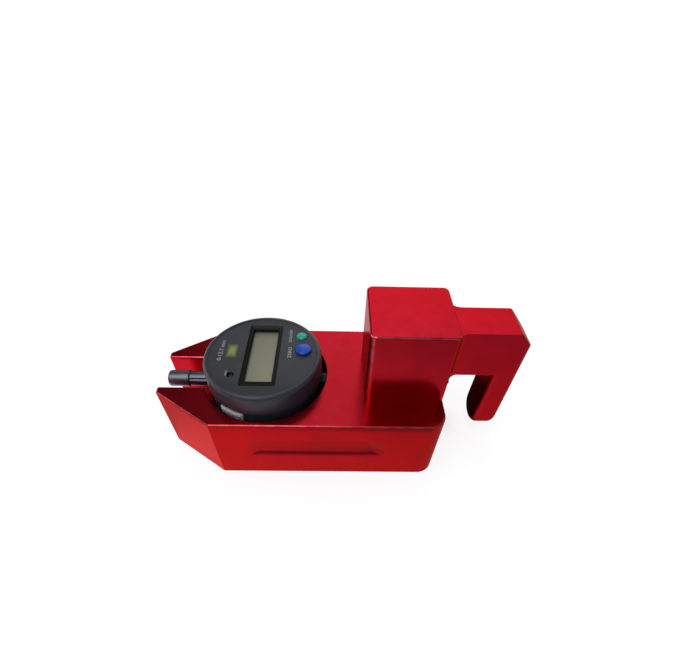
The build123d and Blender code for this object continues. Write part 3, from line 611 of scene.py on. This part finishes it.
class GAUGE_OT_hardware(bpy.types.Operator):
    """Finishes of the screws, bushes, rods, covers and seals"""

    bl_idname = "gauge.hardware"
    bl_label = "Hardware"

    def execute(self, context):
        finish_nodes(black_metal("black_plate", (0.06, 0.06, 0.065), 0.36), ["bottom_cover", "back_cover"])
        screws = ["bottom_cover_screws", "stem_clamp_screws", "board_screws", "back_cover_screws"]
        finish_nodes(metal("screw_steel", (0.30, 0.30, 0.31), 0.32, axis=2, spacing=0.2), screws)
        clamp = metal("clamp_aluminium", (0.66, 0.66, 0.68), 0.34, axis=1, spacing=0.5)
        finish_nodes(clamp, ["stem_clamp_block"])
        bronze = metal("bush_bronze", (0.62, 0.40, 0.18), 0.38, axis=0, spacing=0.3)
        finish_nodes(bronze, ["rod_bush", "stem_bushes"])
        ground = metal("ground_steel", (0.70, 0.70, 0.71), 0.20, axis=0, spacing=0.12, wear=0.3)
        finish_nodes(ground, ["spindle", "guide_rod", "extension_rod"])
        # Painted shade: the steel stem is coloured nearly black, as its end in the pocket's gap lies in
        # shade
        dark = metal("stem_steel", (0.025, 0.025, 0.027), 0.40, axis=0, spacing=0.15, wear=0.4)
        finish_nodes(dark, ["stem"])
        hard = metal("contact_steel", (0.58, 0.58, 0.59), 0.16, axis=0, spacing=0.2, wear=0.3)
        finish_nodes(hard, ["contact_point"])
        self.add_spring(metal("spring_wire", (0.52, 0.52, 0.54), 0.3))
        finish_nodes(metal("cell_steel", (0.62, 0.62, 0.60), 0.24), ["battery", "snap_domes"])
        finish_nodes(metal("contact_brass", (0.70, 0.54, 0.24), 0.3), ["battery_contact"])
        seals = ["rod_wiper", "case_gasket", "data_plug"]
        finish_nodes(rubber("seal_rubber", (0.018, 0.018, 0.019)), seals)
        finish_nodes(rubber("strip_rubber", (0.50, 0.24, 0.27)), ["display_strips"])
        return {"FINISHED"}

    def add_spring(self, material):
        """Return spring: a coil of wire along X in the box of the CAD spring."""
        low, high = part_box("return_spring")
        length = high.x - low.x
        wire = 0.2 * MM
        sides = 10
        coils = 8
        steps = coils * 24
        middle = (low + high) / 2
        start = Vector((low.x + wire, middle.y, high.z - wire))
        advance = Vector(((length - 2 * wire) / steps, 0, 0))

        def build(bm):
            upright = Matrix.Translation(start) @ Matrix.Rotation(math.pi / 2, 4, "X")
            bmesh.ops.create_circle(bm, segments=sides, radius=wire, matrix=upright)
            bmesh.ops.spin(
                bm, geom=bm.verts[:] + bm.edges[:], cent=(start.x, middle.y, middle.z), axis=(1, 0, 0),
                dvec=advance, angle=2 * math.pi * coils, steps=steps,
            )
            ends = [e for e in bm.edges if e.is_boundary]
            bmesh.ops.holes_fill(bm, edges=ends, sides=sides)

        spring = new_piece("return_coil", build, material, "gauge", ["return_spring"])
        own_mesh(spring)


class GAUGE_OT_case(bpy.types.Operator):
    """Finishes of the indicator's case, face and inner parts"""

    bl_idname = "gauge.case"
    bl_label = "Indicator case"

    def execute(self, context):
        case = plastic("case_plastic", colours().case, 0.42, 0.25, 0.008, coat=0.04, shine=0.36)
        finish_nodes(case, ["front_case", "rear_case"])
        # The face film carries painted shade towards its ends
        film = plastic("face_film", colours().face, 0.42, 0.16, 0.006, shine=0.25, ends=0.40)
        finish_nodes(film, ["face_plate"])
        inner = ["carriage", "read_head", "battery_tray"]
        finish_nodes(plastic("inner_plastic", (0.04, 0.04, 0.042), 0.5), inner)
        finish_nodes(circuit_board((0.02, 0.15, 0.06)), ["circuit_board"])
        finish_nodes(ruled_glass(), ["scale_strip"])
        return {"FINISHED"}


class GAUGE_OT_display(bpy.types.Operator):
    """Display frame with rounded edges and sloping inner walls, its window and its cell"""

    bl_idname = "gauge.display"
    bl_label = "Display"

    def execute(self, context):
        frame_low, frame_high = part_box("display_frame")
        glass_low, glass_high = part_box("display_window")
        flange_x = frame_high.x - frame_low.x
        flange_y = frame_high.y - frame_low.y
        centre = ((frame_low.x + frame_high.x) / 2, (frame_low.y + frame_high.y) / 2)
        view = ((glass_low.x + glass_high.x) / 2, (glass_low.y + glass_high.y) / 2)
        lap = 0.8 * MM
        flange_rim = 0.9 * MM
        view_margin = 0.2 * MM
        slope = 1.3 * MM
        mouth_edge = 0.1 * MM
        lip = 0.01 * MM
        corner = 1.0 * MM
        outer_x = flange_x - 2 * flange_rim
        outer_y = flange_y - 2 * flange_rim
        inner_x = glass_high.x - glass_low.x - 2 * lap + view_margin
        inner_y = glass_high.y - glass_low.y - 2 * lap + view_margin
        mouth_x = inner_x + slope
        mouth_y = inner_y + slope
        edge = sizes().bezel_edge
        top = frame_high.z
        seat = glass_high.z + 2 * lip
        flange_top = frame_low.z + 1.0 * MM

        def build(bm):
            rings = [
                (centre, flange_x, flange_y, frame_low.z),
                (centre, flange_x, flange_y, flange_top),
                (centre, outer_x, outer_y, flange_top),
                (centre, outer_x, outer_y, top - edge),
                (centre, outer_x - 0.6 * edge, outer_y - 0.6 * edge, top - 0.3 * edge),
                (centre, outer_x - 2 * edge, outer_y - 2 * edge, top),
                (view, mouth_x, mouth_y, top),
                (view, mouth_x - 2 * mouth_edge, mouth_y - 2 * mouth_edge, top - mouth_edge),
                (view, inner_x, inner_y, seat),
                (view, inner_x, inner_y, seat - lip),
                (view, inner_x + 2 * lap, inner_y + 2 * lap, seat - lip),
                (view, inner_x + 2 * lap, inner_y + 2 * lap, frame_low.z),
                (centre, flange_x, flange_y, frame_low.z),
            ]
            start = rounded_ring(bm, centre, flange_x, flange_y, corner, frame_low.z)
            grow_wall(bm, start, rings)

        gloss = plastic("bezel_plastic", (0.004, 0.004, 0.004), 0.42, 0.3, 0.003, dust=0.02, shine=0.12)
        new_piece("display_bezel", build, gloss, "gauge", ("display_frame",))
        finish_nodes(display_cell(colours().display), ["display_panel"])
        finish_nodes(clear_window("window_clear", (0.20, 0.21, 0.19), 0.08), ["display_window"])
        return {"FINISHED"}


class GAUGE_OT_buttons(bpy.types.Operator):
    """Three crowned buttons with rounded edges"""

    bl_idname = "gauge.buttons"
    bl_label = "Buttons"

    def execute(self, context):
        black = (0.006, 0.006, 0.007)
        flange_lip = 0.6 * MM
        flange_height = 0.9 * MM
        foot_radius = 1.1 * MM
        face_wall = 2.6 * MM
        edge_steps = 5
        crown_steps = 6
        # Node, colour, slot and the share of the crown's height
        for node, colour, slot, share in (
            ("origin_button", colours().origin, "button_blue", 1.0),
            ("power_button", colours().power, "button_green", 1.0),
            ("unit_button", black, "button_dark", 0.4),
        ):
            low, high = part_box(node)
            flange = (high.x - low.x) / 2
            radius = flange - flange_lip
            centre = ((low.x + high.x) / 2, (low.y + high.y) / 2, 0.0)
            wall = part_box("front_case")[1].z - face_wall
            flange_foot = wall - flange_height
            crown = sizes().crown * share
            edge = sizes().cap_edge
            arc = [math.radians(90 * k / edge_steps) for k in range(edge_steps + 1)]
            shoulder = high.z - crown
            span = radius - edge
            profile = [(0.0, low.z), (foot_radius, low.z), (foot_radius, flange_foot)]
            profile += [(flange, flange_foot), (flange, wall), (radius, wall)]
            profile += [(span + edge * math.cos(a), shoulder - edge + edge * math.sin(a)) for a in arc]
            for k in range(1, crown_steps + 1):
                out = 1 - k / crown_steps
                profile.append((span * out, shoulder + crown * (1 - out ** 2)))

            def build(bm, profile=profile, centre=centre):
                spin_profile(bm, profile, centre)

            # Painted shade on each button's shoulder
            cap = plastic(
                node + "_plastic", colour, 0.32, 0.35, 0.004, dust=0.04, shine=0.35, shoulder=0.8,
            )
            new_piece(node + "_cap", build, cap, node, (node,))
        return {"FINISHED"}


class GAUGE_OT_knob(bpy.types.Operator):
    """Turned lifting knob with a rounded end, and the notched guard tube that it slides out of"""

    bl_idname = "gauge.knob"
    bl_label = "Lifting knob"

    def execute(self, context):
        self.knob()
        self.guard()
        return {"FINISHED"}

    def guard(self):
        """Tube with a notch along it, made by drawing the skin in to the notch's floor and wall."""
        low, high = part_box("guard_tube")
        radius = (high.z - low.z) / 2
        centre = Vector((low.x, (low.y + high.y) / 2, (low.z + high.z) / 2))
        length = high.x - low.x
        bore = 2.1 * MM
        edge = 0.25 * MM
        notch_end = length - 11.0 * MM
        notch_step = 0.05 * MM
        nearly = 0.01 * MM
        profile = [
            (bore, 0.0), (radius - edge, 0.0), (radius, edge), (radius, notch_end),
            (radius, notch_end + notch_step), (radius, length), (bore, length), (bore, 0.0),
        ]
        first_turn, last_turn = 0.1, 1.5
        floor_turn, corner_turn = math.radians(66), math.radians(40)
        corner = 0.84 * radius
        wall_gap = corner * math.cos(corner_turn)
        floor_gap = corner * math.cos(corner_turn - floor_turn)

        def build(bm):
            spin_profile(bm, profile, centre, (1, 0, 0), (0, 0, 1), 90)
            for vert in bm.verts:
                away = vert.co - centre
                turn = math.atan2(away.z, -away.y)
                if away.x > notch_end + nearly or not first_turn < turn < last_turn:
                    continue
                reach = math.hypot(away.y, away.z)
                kept = max(bore, wall_gap / math.cos(turn), floor_gap / math.cos(turn - floor_turn))
                share = min(1.0, kept / reach)
                vert.co = centre + Vector((away.x, away.y * share, away.z * share))

        turned = black_metal("black_turned", (0.088, 0.091, 0.120), 0.30)
        new_piece("guard_tube_slotted", build, turned, "gauge", ("guard_tube",))

    def knob(self):
        """Knob with a rounded end, a fine groove near its other end and the spindle's bore."""
        low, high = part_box("lifting_knob")
        radius = (high.z - low.z) / 2
        centre = (low.x, (low.y + high.y) / 2, (low.z + high.z) / 2)
        length = high.x - low.x
        bore = 2.05 * MM
        bore_floor = 1.6 * MM
        edge = 1.1 * MM
        chamfer = 0.3 * MM
        edge_steps = 7
        groove = length - 0.9 * MM
        groove_depth = 0.12 * MM
        groove_side = 0.1 * MM
        groove_width = 0.4 * MM
        arc = [math.radians(90 * k / edge_steps) for k in range(edge_steps + 1)]
        profile = [(0.0, 0.0)]
        profile += [(radius - edge + edge * math.sin(a), edge - edge * math.cos(a)) for a in arc]
        profile += [
            (radius, groove), (radius - groove_depth, groove + groove_side),
            (radius - groove_depth, groove + groove_width - groove_side), (radius, groove + groove_width),
            (radius, length - chamfer), (radius - chamfer, length),
            (bore, length), (bore, bore_floor), (0.0, bore_floor),
        ]

        def build(bm):
            spin_profile(bm, profile, centre, (1, 0, 0), (0, 0, 1))

        turned = black_metal("black_knob", (0.125, 0.124, 0.150), 0.33)
        new_piece("lifting_knob_turned", build, turned, "spindle_line", ("lifting_knob",))


class GAUGE_OT_battery_cover(bpy.types.Operator):
    """Silver battery cover with grip ribs"""

    bl_idname = "gauge.battery_cover"
    bl_label = "Battery cover"

    def execute(self, context):
        cover_low, cover_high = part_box("battery_cover")
        case_low, case_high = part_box("rear_case")
        centre = Vector(((case_low.x + case_high.x) / 2, 0.0, 0.0))
        seat_gap = 0.02 * MM
        thickness = 1.45 * MM
        half_width = 6.6 * MM
        edge = 0.18 * MM
        rib_size = (0.8 * MM, 0.75 * MM)
        rib_edge = 0.15 * MM
        inner = (case_high.x - case_low.x) / 2 + seat_gap
        outer = inner + thickness
        angle = math.radians(-117.5)
        half = math.asin(half_width / outer)
        low, high = cover_low.z, cover_high.z

        def build(bm):
            start = angle - half
            along = Vector((math.cos(start), math.sin(start), 0.0))
            corners = [centre + along * r + Vector((0, 0, z)) for r, z in (
                (inner, low), (outer, low), (outer, high), (inner, high),
            )]
            section = bm.faces.new([bm.verts.new(c) for c in corners])
            bmesh.ops.spin(
                bm, geom=[section, *section.edges, *section.verts], cent=centre, axis=(0, 0, 1),
                angle=2 * half, steps=24, use_merge=False,
            )
            bmesh.ops.recalc_face_normals(bm, faces=bm.faces[:])
            soften(bm, edge)
            count = sizes().rib_count
            for k in range(count):
                turn = angle + half * 0.72 * (2 * k / (count - 1) - 1)
                rib = bmesh.ops.create_cube(bm, size=1.0)["verts"]
                bmesh.ops.scale(bm, vec=(*rib_size, (high - low) * 0.80), verts=rib)
                edges = list({e for v in rib for e in v.link_edges})
                rib = round_off(bm, edges, rib_edge, 2)["verts"]
                bmesh.ops.translate(bm, vec=(outer - seat_gap, 0, (low + high) / 2), verts=rib)
                bmesh.ops.rotate(bm, cent=(0, 0, 0), matrix=Matrix.Rotation(turn, 3, "Z"), verts=rib)
                bmesh.ops.translate(bm, vec=centre, verts=rib)

        silver = metal("cover_silver", (0.56, 0.49, 0.52), 0.50, metallic=0.35)
        new_piece("battery_cover_ribbed", build, silver, "gauge", ("battery_cover",))
        return {"FINISHED"}


class GAUGE_OT_face_marks(bpy.types.Operator):
    """Plain printed marks and a coloured patch on the indicator's face"""

    bl_idname = "gauge.face_marks"
    bl_label = "Face marks"

    def execute(self, context):
        low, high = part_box("face_plate")
        centre = Vector(((low.x + high.x) / 2, (low.y + high.y) / 2, high.z))
        ink = print_ink("mark_ink", colours().ink)
        height = sizes().ink_height
        # Name, words, capitals' height, place from the face's centre and length, in mm
        for name, words, cap, x, y, length in (
            ("mark_power", "ON/OFF", 1.55, 12.9, 14.0, 9.6),
            ("mark_zero", "ZERO", 1.75, 13.3, 1.6, 7.8),
            ("mark_range", "0-12.7 mm", 2.1, -21.2, 2.4, 14.2),
            ("mark_unit", "mm", 1.0, -16.0, -13.2, 2.9),
        ):
            self.mark(name, words, cap * MM, (x * MM, y * MM), length * MM, centre, ink, height)

        spot = (centre.x - 15.7 * MM, centre.y + 2.2 * MM)
        wide, long = 5.4 * MM, 9.6 * MM
        corner = 1.2 * MM
        narrowing = 0.1 * MM

        def patch(bm):
            foot = centre.z + INK_GAP
            rings = [
                (spot, wide, long, foot),
                (spot, wide, long, foot + height * 0.6),
                (spot, wide - narrowing, long - narrowing, foot + height),
            ]
            start = rounded_ring(bm, spot, wide, long, corner, foot)
            bmesh.ops.contextual_create(bm, geom=start)
            top = grow_wall(bm, start, rings)
            bmesh.ops.contextual_create(bm, geom=top)

        soft = print_ink("patch_ink", colours().patch, (spot, wide / 2, long / 2))
        new_piece("mark_patch", patch, soft, "gauge", ())
        return {"FINISHED"}

    def mark(self, name, words, cap, spot, length, centre, ink, height):
        """One line of plain lettering, read towards +Y, made a mesh before it is placed."""
        text = bpy.data.curves.new(name, "FONT")
        text.body = words
        text.align_x = "CENTER"
        text.resolution_u = 4
        text.extrude = height / 2
        holder = bpy.data.objects.new(name + "_text", text)
        bpy.context.scene.collection.objects.link(holder)
        bpy.context.view_layer.update()
        graph = bpy.context.evaluated_depsgraph_get()
        mesh = bpy.data.meshes.new_from_object(holder.evaluated_get(graph))
        bpy.data.objects.remove(holder)
        bpy.data.curves.remove(text)
        xs = [v.co.x for v in mesh.vertices]
        ys = [v.co.y for v in mesh.vertices]
        fit = Matrix.Diagonal((length / (max(xs) - min(xs)), cap / (max(ys) - min(ys)), 1.0, 1.0))
        turn = Matrix.Rotation(math.radians(90), 4, "Z")
        middle = Vector((centre.x + spot[0], centre.y + spot[1], centre.z + height / 2 + INK_GAP))
        shift = Matrix.Translation((-(max(xs) + min(xs)) / 2, -(max(ys) + min(ys)) / 2, 0.0))
        mesh.transform(Matrix.Translation(middle) @ turn @ fit @ shift)
        place_mesh(name, mesh, ink, "gauge", ())


class GAUGE_OT_stage(bpy.types.Operator):
    """Pale floor, soft light and the camera"""

    bl_idname = "gauge.stage"
    bl_label = "Stage"

    def execute(self, context):
        self.floor()
        self.world()
        self.camera()
        context.scene.view_settings.view_transform = "Standard"
        return {"FINISHED"}

    def floor(self):
        """A white sheet with its own glow, which mirrors in the gauge only as a pool of light."""
        half_size = 6.0
        drop = 0.05 * MM
        bm = bmesh.new()
        bmesh.ops.create_grid(bm, x_segments=1, y_segments=1, size=half_size)
        bmesh.ops.translate(bm, vec=(0, 0, -drop), verts=bm.verts[:])
        mesh = bpy.data.meshes.new("floor")
        bm.to_mesh(mesh)
        bm.free()
        material, nodes = new_material("floor_paper")
        path = nodes.node("ShaderNodeLightPath").socket.node.outputs
        glossy = Value(nodes, path["Is Glossy Ray"])
        seen = Value(nodes, path["Is Camera Ray"]).larger(Value(nodes, path["Is Transmission Ray"]))
        x, y = nodes.axes(nodes.place())[:2]
        reach = {"Distance": 80 * MM}
        open_sky = nodes.node("ShaderNodeAmbientOcclusion", {"samples": 8}, reach, output="AO")
        black, full, double = (0.0, 0.0, 0.0, 1.0), (1.0, 1.0, 1.0, 1.0), (2.0, 2.0, 2.0, 1.0)
        # The painted pool of light fades towards the viewer, has a painted shadow under the throat and is
        # bright round the fork's prongs
        pool = 0.33 + (0.30 + 0.45 * x.step(120 * MM, -80 * MM)) * y.step(-170 * MM, -30 * MM)
        throat = x.band(50 * MM, 80 * MM, 6 * MM) * y.band(-8 * MM, 58 * MM, 12 * MM)
        beside = x.step(-124 * MM, -76 * MM) * x.step(-58 * MM, -64 * MM)
        beside = beside * abs(y).band(14 * MM, 35.5 * MM, 1 * MM)
        pool = (pool + 0.62 * beside) * (1.0 - 0.96 * throat)
        pool_light = nodes.mix(0.5 * pool * open_sky.step(0.25, 0.52), black, double)
        mirrored = nodes.node("ShaderNodeEmission", None, {"Color": pool_light})
        # The glow dims in a painted shadow where the gauge covers the sheet, and inside the fork
        fork = x.band(-79.5 * MM, -55 * MM, 1.5 * MM) * abs(y).step(12.5 * MM, 11.5 * MM)
        glow_light = nodes.mix(0.82 * open_sky.step(0.18, 0.40) * (1.0 - 0.97 * fork), black, full)
        glow = nodes.node("ShaderNodeEmission", None, {"Color": glow_light})
        paper = nodes.node("ShaderNodeBsdfDiffuse", None, {"Color": (0.72, 0.72, 0.72, 1.0)})
        # Painted shadow: the sheet's own colour is nearly black inside the fork
        pale = nodes.mix(fork, (0.26, 0.26, 0.26, 1.0), (0.01, 0.01, 0.01, 1.0))
        pale = nodes.node("ShaderNodeBsdfDiffuse", None, {"Color": pale})
        white = nodes.node("ShaderNodeAddShader", None, {0: pale, 1: glow})
        shown = nodes.node("ShaderNodeMixShader", None, {0: seen, 1: paper, 2: white})
        nodes.output(nodes.node("ShaderNodeMixShader", None, {0: glossy, 1: shown, 2: mirrored}))
        mesh.materials.append(material)
        floor = bpy.data.objects.new("floor", mesh)
        bpy.context.scene.collection.objects.link(floor)

    def world(self):
        """A dim room with soft boxes behind the gauge, low on its left and overhead."""
        world = bpy.data.worlds.new("studio")
        bpy.context.scene.world = world
        world.use_nodes = True
        nodes = Nodes(world.node_tree)
        x, y, z = nodes.axes(nodes.node("ShaderNodeTexCoord", output="Generated"))
        path = nodes.node("ShaderNodeLightPath").socket.node.outputs
        camera = Value(nodes, path["Is Camera Ray"])
        # Bearing in degrees, 0 behind the gauge and positive to its right
        bearing = x.math("ARCTAN2", x, y) * (180 / math.pi)
        # Tall box behind, brightest at its foot and a little dimmer on its right
        back_box = bearing.step(-23, -12) * bearing.step(85, 60) * z.step(0.20, 0.35)
        back_box = back_box * (1.34 - (z - 0.5) * 1.7).larger(0.4) * (1.0 - 0.16 * bearing.step(14, 30))
        # Low box to the left
        left_box = bearing.step(-48, -62) * bearing.step(-108, -96)
        left_box = left_box * z.step(0.10, 0.25) * z.step(0.70, 0.56)
        # Box overhead, and one above the viewer's left shoulder
        shoulder = z.step(0.55, 0.75) * y.step(0.05, -0.15) * x.step(0.04, -0.24) * x.step(-0.62, -0.45)
        above = (z.step(0.90, 0.96) * x.step(0.10, -0.12)).larger(shoulder)
        # Light along the horizon behind, and a fainter light on the viewer's side
        horizon = z.step(0.25, 0.10) * y.step(-0.2, 0.4)
        front = y.step(-0.10, -0.40) * z.step(-0.10, 0.10)
        level = 0.10 + back_box + 2.0 * left_box + 2.9 * above + 0.7 * horizon + 0.23 * front
        grey = nodes.node("ShaderNodeCombineColor", None, {0: level, 1: level, 2: level})
        colour = nodes.mix(camera, grey, (1.0, 1.0, 1.0, 1.0))
        background = nodes.node("ShaderNodeBackground", None, {"Color": colour, "Strength": sizes().light})
        nodes.output(background, "ShaderNodeOutputWorld")

    def camera(self):
        """The camera that the photograph was fitted with, its turns in degrees."""
        place = (-1.32 * MM, -142.53 * MM, 196.95 * MM)
        down_angle, roll_angle, yaw_angle = 47.95, 2.41, 2.16
        shift_up = 0.0711
        data = bpy.data.cameras.new("camera")
        data.sensor_width = 36.0
        data.sensor_fit = "HORIZONTAL"
        data.lens = sizes().lens
        data.shift_y = shift_up
        data.clip_start = 0.01
        data.clip_end = 20.0
        down, roll, yaw = (math.radians(a) for a in (down_angle, roll_angle, yaw_angle))
        level = math.cos(down)
        forward = Vector((math.sin(yaw) * level, math.cos(yaw) * level, -math.sin(down)))
        right = Vector((math.cos(yaw), -math.sin(yaw), 0.0))
        up = right.cross(forward)
        across = right * math.cos(roll) + up * math.sin(roll)
        above = up * math.cos(roll) - right * math.sin(roll)
        holder = bpy.data.objects.new("camera", data)
        bpy.context.scene.collection.objects.link(holder)
        turn = Matrix((across, above, -forward)).transposed().to_4x4()
        holder.matrix_world = Matrix.Translation(place) @ turn
        bpy.context.scene.camera = holder


OPERATORS = (
    GAUGE_OT_body,
    GAUGE_OT_hardware,
    GAUGE_OT_case,
    GAUGE_OT_display,
    GAUGE_OT_buttons,
    GAUGE_OT_knob,
    GAUGE_OT_battery_cover,
    GAUGE_OT_face_marks,
    GAUGE_OT_stage,
)


class GAUGE_PT_panel(bpy.types.Panel):
    """Settings and pieces of the gauge"""

    bl_label = "Thickness gauge"
    bl_idname = "GAUGE_PT_panel"
    bl_space_type = "VIEW_3D"
    bl_region_type = "UI"
    bl_category = "Gauge"

    def draw(self, context):
        for group in (context.scene.gauge_colours, context.scene.gauge_sizes):
            for name in group.__annotations__:
                self.layout.prop(group, name)
        for operator in OPERATORS:
            self.layout.operator(operator.bl_idname)


CLASSES = (GaugeColours, GaugeSizes, *OPERATORS, GAUGE_PT_panel)


def register():
    for cls in CLASSES:
        bpy.utils.register_class(cls)
    bpy.types.Scene.gauge_colours = PointerProperty(type=GaugeColours)
    bpy.types.Scene.gauge_sizes = PointerProperty(type=GaugeSizes)


def unregister():
    del bpy.types.Scene.gauge_colours
    del bpy.types.Scene.gauge_sizes
    for cls in reversed(CLASSES):
        bpy.utils.unregister_class(cls)


def main():
    """Build every piece."""
    register()
    bpy.ops.gauge.body()
    bpy.ops.gauge.hardware()
    bpy.ops.gauge.case()
    bpy.ops.gauge.display()
    bpy.ops.gauge.buttons()
    bpy.ops.gauge.knob()
    bpy.ops.gauge.battery_cover()
    bpy.ops.gauge.face_marks()
    bpy.ops.gauge.stage()


if __name__ == "__main__":
    main()
